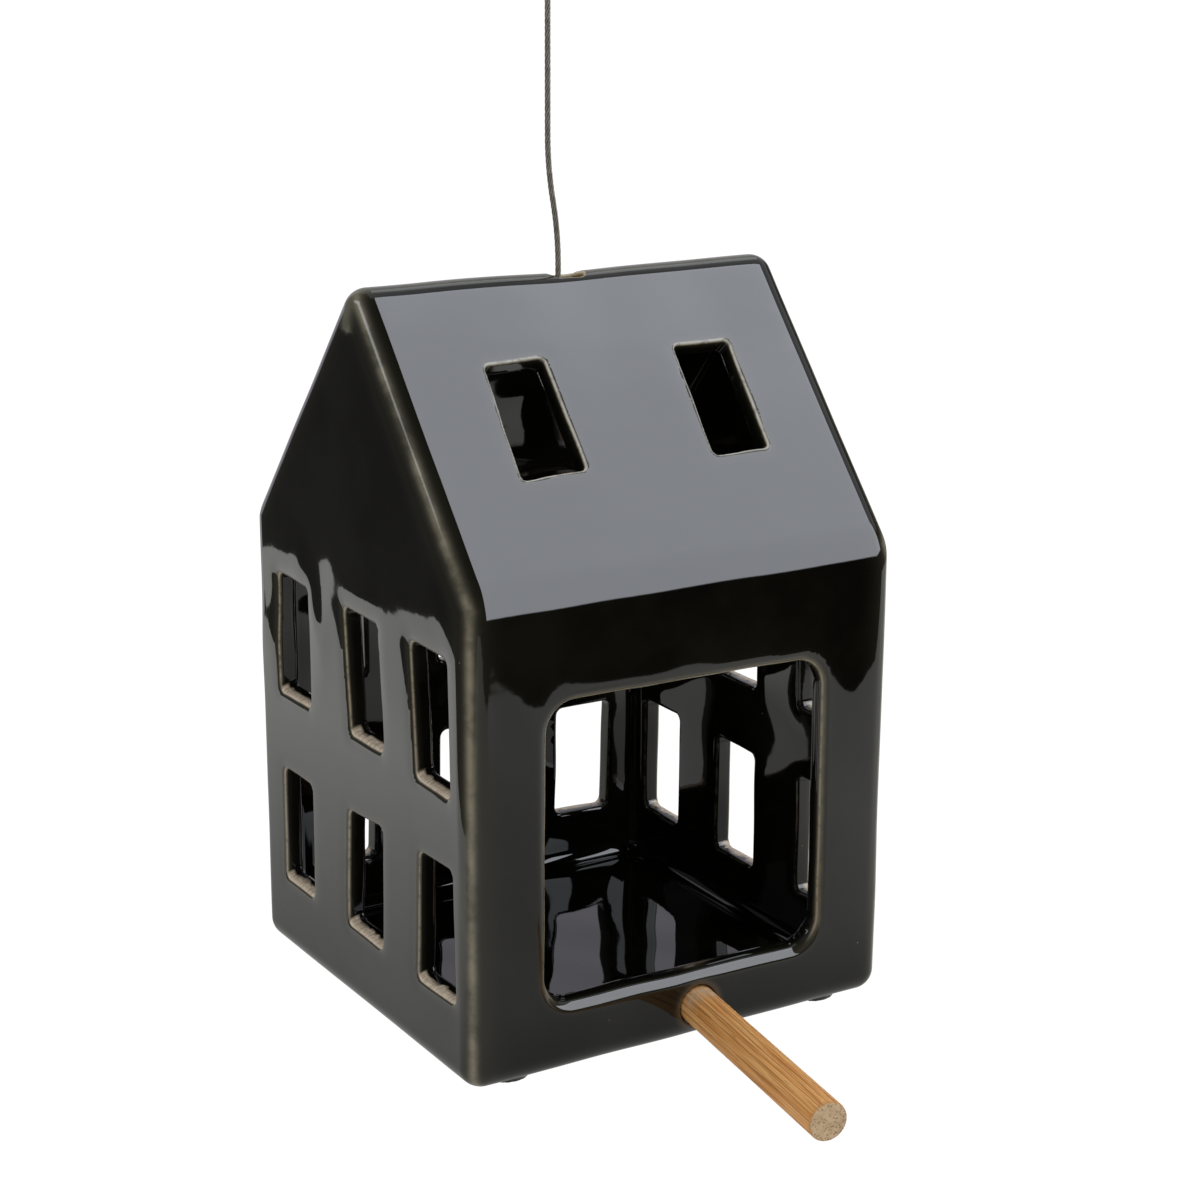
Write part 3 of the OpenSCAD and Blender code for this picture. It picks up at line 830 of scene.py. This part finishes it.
def glaze_material():
    n = Net("black_olive_glaze")
    p = n.pos()
    geo = n.node("ShaderNodeNewGeometry")
    nrm = n.node("ShaderNodeSeparateXYZ")
    n.put(nrm.inputs[0], geo.outputs["Normal"])
    edge, rim_o, rim_i = n.attr("edge"), n.attr("rim_o"), n.attr("rim_i")
    inside = n.attr("inside")
    outside = n.m("SUBTRACT", 1.0, inside, clamp=True)
    big = n.noise(p, 34, 3, 0.55)
    mid = n.noise(p, 190, 3, 0.6)
    fine = n.noise(p, 1100, 2, 0.6)
    # thick glaze is black, with olive clouds where it is thinner
    col = n.mix(n.map(big, 0.35, 0.7), (0.0020, 0.0018, 0.0012), (0.0052, 0.0050, 0.0036))
    # glaze pulls thin over the rounded edges and lets the pale clay through
    halo = n.m("MULTIPLY", n.bell(edge, 0.0, 5.2), outside)
    col = n.mix(n.m("MULTIPLY", halo, 0.75), col, (0.028, 0.026, 0.018))
    crest = n.m("MULTIPLY", n.bell(edge, 0.0, 1.6), outside)
    crest = n.m("MULTIPLY", crest, n.map(n.m("ADD", n.m("MULTIPLY", mid, 0.6), n.m("MULTIPLY", big, 0.5)), 0.36, 0.72, 0.25, 1.0))
    col = n.mix(n.m("MULTIPLY", crest, 0.88), col, (0.29, 0.26, 0.187))
    # an olive band is painted lighter along the ridge: partly thin glaze over the clay, partly a painted reflection of
    # the pale ceiling
    ridge_clay_and_sheen = n.m("MULTIPLY", n.bell(n.attr("ridge"), 0.0, 3.6), n.map(mid, 0.3, 0.7, 0.7, 1.0))
    col = n.mix(n.m("MULTIPLY", ridge_clay_and_sheen, 0.8), col, (0.19, 0.184, 0.136))
    # rims of the openings
    rhalo = n.m("MULTIPLY", n.bell(rim_o, 0.2, 1.9), outside)
    col = n.mix(n.m("MULTIPLY", rhalo, 0.6), col, (0.036, 0.034, 0.024))
    up = n.map(nrm.outputs["Z"], 0.12, 0.6)
    kind = n.attr("door")
    door, sky = n.m("MAXIMUM", kind, 0.0), n.m("MAXIMUM", n.m("MULTIPLY", kind, -1.0), 0.0)
    brk = n.map(n.noise(p, 420, 2, 0.6), 0.30, 0.55, 0.45, 1.0)
    line = n.m("MULTIPLY", n.bell(rim_o, -0.34, 0.40), brk)
    line = n.m("MULTIPLY", line, n.m("SUBTRACT", 1.0, n.m("MULTIPLY", up, door), clamp=True))
    # sills, where the glaze has run off and the ribbed clay shows
    ribs = n.map(n.noise(n.scaled(p, (0.12, 1.0, 0.12)), 2700, 1, 0.5), 0.36, 0.62, 0.74, 1.0)
    sill = n.m("MULTIPLY", n.map(rim_o, -4.8, -3.4), n.map(rim_o, 0.35, -0.3))
    sill = n.m("MULTIPLY", n.m("MULTIPLY", sill, up), n.m("SUBTRACT", 1.0, n.m("MAXIMUM", door, sky), clamp=True))
    line = n.m("MULTIPLY", n.m("MAXIMUM", line, n.m("MULTIPLY", sill, n.m("MULTIPLY", ribs, n.map(brk, 0.4, 1.0, 0.9, 1.0)))), outside)
    col = n.mix(n.m("MULTIPLY", line, 0.85), col, n.mix(up, (0.42, 0.36, 0.25), (0.92, 0.77, 0.59)))
    lip = n.m("MULTIPLY", n.m("MULTIPLY", n.bell(rim_o, 0.0, 1.0), door), n.m("MULTIPLY", outside, n.m("SUBTRACT", 1.0, up)))
    col = n.mix(n.m("MULTIPLY", lip, n.map(mid, 0.3, 0.7, 0.35, 0.6)), col, (0.24, 0.21, 0.145))
    # a whitish line is painted along the skylight rims: a painted reflection of the bright sky in the rounded rim
    skylight_glint_painted = n.m("MULTIPLY", n.m("MULTIPLY", n.bell(rim_o, 0.12, 0.42), sky), outside)
    col = n.mix(n.m("MULTIPLY", skylight_glint_painted, n.map(brk, 0.4, 1.0, 0.55, 0.9)), col, (0.72, 0.70, 0.64))
    linei = n.m("MULTIPLY", n.bell(rim_i, -0.2, 0.45), n.map(n.noise(p, 300, 2, 0.6), 0.4, 0.65, 0.1, 0.8))
    col = n.mix(n.m("MULTIPLY", linei, n.m("MULTIPLY", inside, 0.30)), col, (0.16, 0.14, 0.10))
    # brown halo round the perch hole
    ph = n.attr("perch")
    col = n.mix(n.m("MULTIPLY", n.bell(ph, -0.1, 1.25), 0.75), col, (0.115, 0.085, 0.055))
    # bare clay in the ridge hole and under the feet
    hl = n.attr("hole")
    bare = n.m("MULTIPLY", n.map(hl, 0.75, 0.0), n.map(n.noise(p, 300, 2, 0.5), 0.25, 0.55, 0.75, 1.0))
    clay_and_bore_shade = n.mix(n.map(n.noise(p, 800, 3, 0.6), 0.3, 0.7), (0.74, 0.66, 0.50), (0.55, 0.46, 0.30))
    # deeper into the ridge hole the clay is painted yellow-brown, then nearly black: painted shade in the bore
    clay_and_bore_shade = n.mix(n.map(hl, -0.35, -1.3), clay_and_bore_shade, (0.26, 0.165, 0.035))
    clay_and_bore_shade = n.mix(n.map(hl, -1.3, -2.8), clay_and_bore_shade, (0.03, 0.02, 0.008))
    col = n.mix(bare, col, clay_and_bore_shade)
    foot = n.map(n.attr("foot"), 0.55, 0.95)
    col = n.mix(n.m("MULTIPLY", foot, 0.85), col, (0.17, 0.095, 0.045))
    # pin pricks and specks
    cell = n.voronoi(p, 95)
    prick = n.map(cell, 0.028, 0.012)
    lucky = n.map(n.noise(p, 60, 1, 0.5), 0.52, 0.56)
    prick = n.m("MULTIPLY", prick, lucky)
    col = n.mix(n.m("MULTIPLY", prick, 0.7), col, (0.22, 0.21, 0.19))
    dry = n.m("MAXIMUM", bare, foot)
    rough = n.m("ADD", 0.022, n.m("MULTIPLY", mid, 0.018))
    rough = n.m("ADD", rough, n.m("MULTIPLY", line, 0.30))
    rough = n.m("ADD", rough, n.m("MULTIPLY", crest, 0.05))
    rough = n.mixf(dry, rough, 0.75)
    h = n.m("ADD", n.m("MULTIPLY", n.noise(p, 150, 2, 0.5), 0.5), n.m("MULTIPLY", fine, n.mixf(dry, 0.01, 0.5)))
    h = n.m("SUBTRACT", h, n.m("MULTIPLY", prick, 0.6))
    h = n.m("ADD", h, n.m("MULTIPLY", n.m("MULTIPLY", line, up), n.m("MULTIPLY", ribs, 0.3)))
    normal = n.bump(h, 0.35, 0.00006)
    return n.surface(col, rough, 0.0, 1.52, normal)


def bamboo_material(name, light, mid_c, dark, wall_z=None, grey=0.0):
    n = Net(name)
    p = n.pos()
    long = n.scaled(p, (1.0, 1.0, 0.035))
    a = n.noise(long, 1250, 3, 0.65)
    b = n.noise(n.scaled(p, (1.0, 1.0, 0.012)), 2300, 2, 0.6)
    c = n.noise(n.scaled(p, (1.0, 1.0, 0.3)), 90, 2, 0.5)
    col = n.mix(n.map(a, 0.32, 0.66), light, mid_c)
    col = n.mix(n.m("MULTIPLY", n.map(b, 0.48, 0.62), 0.85), col, dark)
    col = n.mix(n.m("MULTIPLY", n.map(c, 0.45, 0.75), 0.35), col, tuple(0.78 * x for x in mid_c))
    # short dark flecks where vessel ends meet the surface
    fl = n.noise(n.scaled(p, (1.0, 1.0, 0.09)), 2300, 1, 0.5)
    col = n.mix(n.m("MULTIPLY", n.map(fl, 0.69, 0.76), 0.6), col, tuple(0.45 * x for x in dark))
    if wall_z is not None:
        xyz = n.node("ShaderNodeSeparateXYZ")
        n.put(xyz.inputs[0], p)
        # pale scuffed patch on top where the dowel enters the wall, and a touch of grime
        pz = n.m("MULTIPLY", n.bell(xyz.outputs["Z"], wall_z + 0.0022, 0.0028), n.map(xyz.outputs["Y"], 0.0, 0.0045))
        pz = n.m("MULTIPLY", pz, n.map(n.noise(p, 700, 3, 0.6), 0.3, 0.6, 0.2, 1.0))
        col = n.mix(n.m("MULTIPLY", pz, 0.7), col, (0.74, 0.62, 0.45))
        tip = n.map(xyz.outputs["Z"], 0.0782, 0.080)
        col = n.mix(n.m("MULTIPLY", tip, 0.55), col, (0.52, 0.25, 0.085))
    rough = n.m("ADD", 0.42, n.m("MULTIPLY", b, 0.25))
    h = n.m("ADD", n.m("MULTIPLY", b, 0.7), n.m("MULTIPLY", fl, -0.5))
    return n.surface(col, rough, 0.0, 1.45, n.bump(h, 0.5, 0.00012), spec=0.35)


def bamboo_end_material(name, base, dot, rim, radius):
    n = Net(name)
    p = n.pos()
    flat = n.scaled(p, (1.0, 1.0, 0.0))
    ln = n.node("ShaderNodeVectorMath", operation="LENGTH")
    n.put(ln.inputs[0], flat)
    r = ln.outputs["Value"]
    d = n.voronoi(flat, 1500)
    dots = n.map(d, 0.42, 0.22)
    dots = n.m("MULTIPLY", dots, n.map(n.noise(flat, 900, 2, 0.5), 0.28, 0.45))
    col = n.mix(n.map(n.noise(flat, 420, 3, 0.6), 0.35, 0.65), base, tuple(0.80 * x for x in base))
    col = n.mix(n.m("MULTIPLY", dots, 0.8), col, dot)
    col = n.mix(n.m("MULTIPLY", n.map(r, radius * 0.90, radius * 0.985), 0.85), col, rim)
    h = n.m("ADD", n.m("MULTIPLY", dots, -0.8), n.noise(n.scaled(p, (1.0, 0.1, 0.0)), 1800, 2, 0.5))
    return n.surface(col, 0.72, 0.0, 1.4, n.bump(h, 0.6, 0.00012), spec=0.25)


def steel_material():
    n = Net("brown_grey_wire_rope")
    p = n.pos()
    deep = n.attr("deep")
    a = n.noise(p, 700, 3, 0.6)
    col = n.mix(n.map(a, 0.35, 0.7), (0.37, 0.335, 0.29), (0.23, 0.20, 0.165))
    # the valleys between the strands are painted dark: painted shade
    col = n.mix(n.map(deep, 0.15, 0.8), col, (0.05, 0.041, 0.031))
    rough = n.m("ADD", 0.36, n.m("MULTIPLY", a, 0.2))
    return n.surface(col, rough, 0.3, 1.6, n.bump(n.noise(p, 4000, 1, 0.5), 0.15, 0.00002))


def ferrule_material():
    n = Net("crimped_aluminium")
    p = n.pos()
    a = n.noise(n.scaled(p, (1, 1, 0.15)), 1400, 3, 0.6)
    b = n.noise(p, 260, 2, 0.5)
    col = n.mix(n.map(b, 0.35, 0.7), (0.62, 0.62, 0.60), (0.46, 0.455, 0.44))
    col = n.mix(n.m("MULTIPLY", n.map(a, 0.55, 0.7), 0.4), col, (0.30, 0.295, 0.28))
    rough = n.m("ADD", 0.30, n.m("MULTIPLY", a, 0.25))
    return n.surface(col, rough, 1.0, 1.5, n.bump(a, 0.35, 0.00003))


# ------------------------------------------------------------ pieces

LAY = 1.0
house = build_house()
perch = build_perch()
toggle = build_toggle()
rope, (loop_x, fz0, fz1) = build_cable()
sleeve = build_sleeve("crimp_sleeve", loop_x, fz0 + 0.01, fz1 - 0.01, 4.38, 2.58, (0.27, 0.73), 0.45, "hanger", "loop_ferrule")
_sl, _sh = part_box("stop_ferrule")
stop = build_sleeve("stop_crimp", (_sl.x + _sh.x) * 500, _sl.z * 1000 + 0.01, _sh.z * 1000 - 0.01, 3.38, 3.38, (0.5,), 0.4, "hanger", "stop_ferrule")

house.data.materials.append(glaze_material())
for o in (perch,):
    o.data.materials.append(bamboo_material("bamboo_side", (1.0, 0.57, 0.22), (0.86, 0.39, 0.11), (0.45, 0.165, 0.04), 0.014))
    o.data.materials.append(bamboo_end_material("bamboo_end", (0.76, 0.55, 0.34), (0.34, 0.215, 0.115), (0.62, 0.30, 0.10), 0.005))
toggle.data.materials.append(bamboo_material("toggle_side", (0.50, 0.39, 0.26), (0.38, 0.28, 0.17), (0.20, 0.135, 0.075)))
toggle.data.materials.append(bamboo_end_material("toggle_end", (0.40, 0.32, 0.22), (0.16, 0.11, 0.07), (0.26, 0.16, 0.08), 0.0018))
rope.data.materials.append(steel_material())
metal = ferrule_material()
for o in (sleeve, stop):
    o.data.materials.append(metal)

# ------------------------------------------------------------ camera

scene = bpy.context.scene
C = np.array([-330.25, -555.33, 284.13])
FWD = np.array([0.50319, 0.82046, -0.27137])
RIGHT = np.array([0.85318, -0.52159, 0.00502])
FWD /= np.linalg.norm(FWD)
RIGHT -= FWD * (RIGHT @ FWD)
RIGHT /= np.linalg.norm(RIGHT)
UP = np.cross(RIGHT, FWD)
cam_data = bpy.data.cameras.new("camera")
cam = bpy.data.objects.new("camera", cam_data)
scene.collection.objects.link(cam)
cam_data.sensor_width, cam_data.lens = 36.0, 77.951
cam_data.clip_start, cam_data.clip_end = 0.01, 100
Mc = Matrix.Identity(4)
pc = put(C)
for i in range(3):
    Mc[i][0], Mc[i][1], Mc[i][2], Mc[i][3] = RIGHT[i], UP[i], -FWD[i], pc[i]
cam.matrix_world = Mc
scene.camera = cam

# ------------------------------------------------------------ stage and light


def emitter(name, quad, color, strength, camera=False, diffuse=True, glossy=True, shadow=False, nodes=None):
    me = bpy.data.meshes.new(name)
    me.from_pydata([tuple(put(q)) for q in quad], [], [tuple(range(len(quad)))])
    ob = link(me, name)
    t = Net(name + "_light")
    e = t.node("ShaderNodeEmission")
    t.put(e.inputs["Color"], color)
    t.put(e.inputs["Strength"], strength if nodes is None else nodes(t))
    t.put(t.out.inputs["Surface"], e.outputs[0])
    me.materials.append(t.mat)
    ob.visible_camera, ob.visible_diffuse, ob.visible_glossy = camera, diffuse, glossy
    ob.visible_transmission, ob.visible_shadow = False, shadow
    return ob


# pale floor well below the hanging feeder; it is lit evenly, so it takes no shadow
fl = bpy.data.meshes.new("pale_floor")
S = 40.0
fl.from_pydata([(-S, -S, -0.30), (S, -S, -0.30), (S, S, -0.30), (-S, S, -0.30)], [], [(0, 1, 2, 3)])
floor = link(fl, "pale_floor")
t = Net("pale_floor_paint")
lp = t.node("ShaderNodeLightPath")
e = t.node("ShaderNodeEmission")
t.put(e.inputs["Color"], (1.0, 1.0, 1.0))
fx = t.node("ShaderNodeSeparateXYZ")
t.put(fx.inputs[0], t.node("ShaderNodeNewGeometry").outputs["Position"])
lvl = t.mixf(lp.outputs["Is Glossy Ray"], 0.66, t.map(fx.outputs["X"], -0.2, -0.55, 0.005, 0.06))
t.put(e.inputs["Strength"], t.mixf(lp.outputs["Is Camera Ray"], lvl, 1.05))
tr = t.node("ShaderNodeBsdfTransparent")
mx = t.node("ShaderNodeMixShader")
t.put(mx.inputs[0], t.node("ShaderNodeNewGeometry").outputs["Backfacing"])
t.put(mx.inputs[1], e.outputs[0])
t.put(mx.inputs[2], tr.outputs[0])
t.put(t.out.inputs["Surface"], mx.outputs[0])
fl.materials.append(t.mat)
floor.visible_shadow = False

n_slope = np.array([0, -SN, CS])


def on_slope(x, up):
    return np.array([x, -HD + up * CS, BASE + EAVE + up * SN])


def bounce(p, n=n_slope):
    """Direction in which the camera looks once it has been mirrored at p."""
    d = (p - C) / np.linalg.norm(p - C)
    n = np.asarray(n, float) / np.linalg.norm(n)
    return d - 2 * (d @ n) * n


HEART = bounce(on_slope(0, 45))


def side_plane(a, b):
    """Plane through two directions, facing the middle of the big light."""
    n = np.cross(a, b)
    n /= np.linalg.norm(n)
    return n if n @ HEART > 0 else -n


def low(x, deg):
    a = SL + math.radians(deg)
    return bounce(on_slope(x, -2), (0, -math.sin(a), math.cos(a)))


# edges of the big overhead light: (facing, offset, softness)
BIG_LIGHT = [
    (side_plane(bounce(on_slope(-57, 0)), bounce(on_slope(-57, 88))), -0.072, 0.012),
    (side_plane(bounce(on_slope(-57, 88)), bounce(on_slope(57, 88))), -0.072, 0.012),
    (side_plane(np.array([0.90, 0.0, 0.44]), np.array([0.88, -0.47, 0.05])), 0.0, 0.03),
    (np.array([0.0, 0.0, 1.0]), 0.16, 0.03),
    (side_plane(bounce(on_slope(-57, 0)), low(-46, 26)), -0.10, 0.02),
    (side_plane(bounce(on_slope(-57, 85)), bounce(on_slope(-53, 88.5))), -0.055, 0.01),
    (side_plane(bounce(on_slope(57, 84)), bounce(on_slope(53, 88.5))), -0.055, 0.01),
]

world = bpy.data.worlds.new("studio")
scene.world = world
world.use_nodes = True
wt = Net.__new__(Net)
wt.t = world.node_tree
wt.t.nodes.clear()
wo = wt.node("ShaderNodeOutputWorld")
bg = wt.node("ShaderNodeBackground")
wl = wt.node("ShaderNodeLightPath")
ray = wt.node("ShaderNodeTexCoord").outputs["Generated"]


def along(v):
    d = wt.node("ShaderNodeVectorMath", operation="DOT_PRODUCT")
    wt.put(d.inputs[0], ray)
    d.inputs[1].default_value = tuple(float(a) for a in v)
    return d.outputs["Value"]


big_light = 1.0
for facing, off, soft in BIG_LIGHT:
    big_light = wt.m("MULTIPLY", wt.map(along(facing), off - soft / 2, off + soft / 2), big_light)
streak = wt.m("MULTIPLY", wt.map(along((0, 1, 0)), -0.18, -0.08), wt.m("MULTIPLY", wt.map(along((1, 0, 0)), -0.60, -0.70), wt.map(along((0, 0, 1)), 0.565, 0.64)))
dark = wt.map(along((1, 0, 0)), -0.42, -0.10, 0.11, 0.005)
# pale ceiling behind, which the rounded ridge mirrors
above = wt.m("MULTIPLY", wt.m("MULTIPLY", wt.map(along((0, 1, 0)), -0.33, -0.25), wt.map(along((1, 0, 0)), 0.0, 0.15)), wt.map(along((0, 0, 1)), 0.33, 0.40))
dark = wt.m("ADD", dark, wt.m("MULTIPLY", above, 0.6))
sheen = wt.m("ADD", dark, wt.m("ADD", wt.m("MULTIPLY", big_light, 5.0), wt.m("MULTIPLY", streak, 4.5)))
strength = wt.mixf(wl.outputs["Is Camera Ray"], wt.mixf(wl.outputs["Is Glossy Ray"], 0.60, sheen), 1.05)
wt.put(bg.inputs["Strength"], strength)
wt.put(bg.inputs["Color"], wt.mix(wt.m("MULTIPLY", wl.outputs["Is Glossy Ray"], 0.95), (1.0, 1.0, 1.0), (0.88, 0.92, 1.0)))
wt.t.links.new(bg.outputs[0], wo.inputs["Surface"])


# white table top as the glaze sees it: brighter beside the left gable than in front, and painted darker close to the
# house, a painted shadow of the house on the table
def table_level(t):
    geo = t.node("ShaderNodeNewGeometry")
    xyz = t.node("ShaderNodeSeparateXYZ")
    t.put(xyz.inputs[0], geo.outputs["Position"])
    X, Y = xyz.outputs["X"], xyz.outputs["Y"]
    # both levels fall off towards the house walls: painted shadow of the house on the table
    ahead = t.map(X, 0.02, 0.15, 0.50, 0.80)
    ahead = t.m("MULTIPLY", ahead, t.map(Y, (FY - 62) / 1000, (FY - 110) / 1000, 0.72, 1.0))
    beside = t.map(X, -0.060, -0.162, 0.47, 1.13, smooth=False)
    return t.mixf(t.map(Y, (FY - 85) / 1000, (FY - 25) / 1000), ahead, beside)


emitter("table_card", [(-232, -448, -1), (700, -142, -1), (700, 1100, -1), (-232, 1100, -1)], (1.0, 1.0, 0.98), 1.0, nodes=table_level)
# pale sweep behind, seen in the glossy floor of the house through its windows
emitter("back_card", [(-208, 700, 0), (1100, 700, 0), (1100, 700, 760), (-208, 700, 760)], (0.93, 0.90, 1.0), 0.60)
emitter("back_card_top", [(-208, 700, 760), (1100, 700, 760), (1100, 700, 2400), (-208, 700, 2400)], (0.96, 0.97, 1.0), 0.55, diffuse=False)

# softbox above the front roof slope, as the matt surfaces feel it, and a weaker one behind
def mirrored(p, far):
    return p + bounce(p) * far


corners = [on_slope(-55.5, 4), on_slope(56.0, 4), on_slope(56.0, 86), on_slope(-55.5, 86)]
far = 950.0
pts = [mirrored(p, far) for p in corners]
mid = np.mean(pts, 0)
nrm = np.cross(pts[1] - pts[0], pts[3] - pts[0])
nrm /= np.linalg.norm(nrm)
pts = [mid + (p - mid) * 1.0 + 85 * ((p - mid) / np.linalg.norm(p - mid)) for p in pts]
emitter("soft_box", pts, (0.95, 0.97, 1.0), 6.0, glossy=False)
back = [p * np.array([1, -1, 1]) for p in pts][::-1]
emitter("soft_box_back", back, (0.92, 0.95, 1.0), 1.6)

scene.view_settings.view_transform = "Standard"
scene.view_settings.look = "None"
scene.view_settings.exposure = 0.0
scene.view_settings.gamma = 1.0
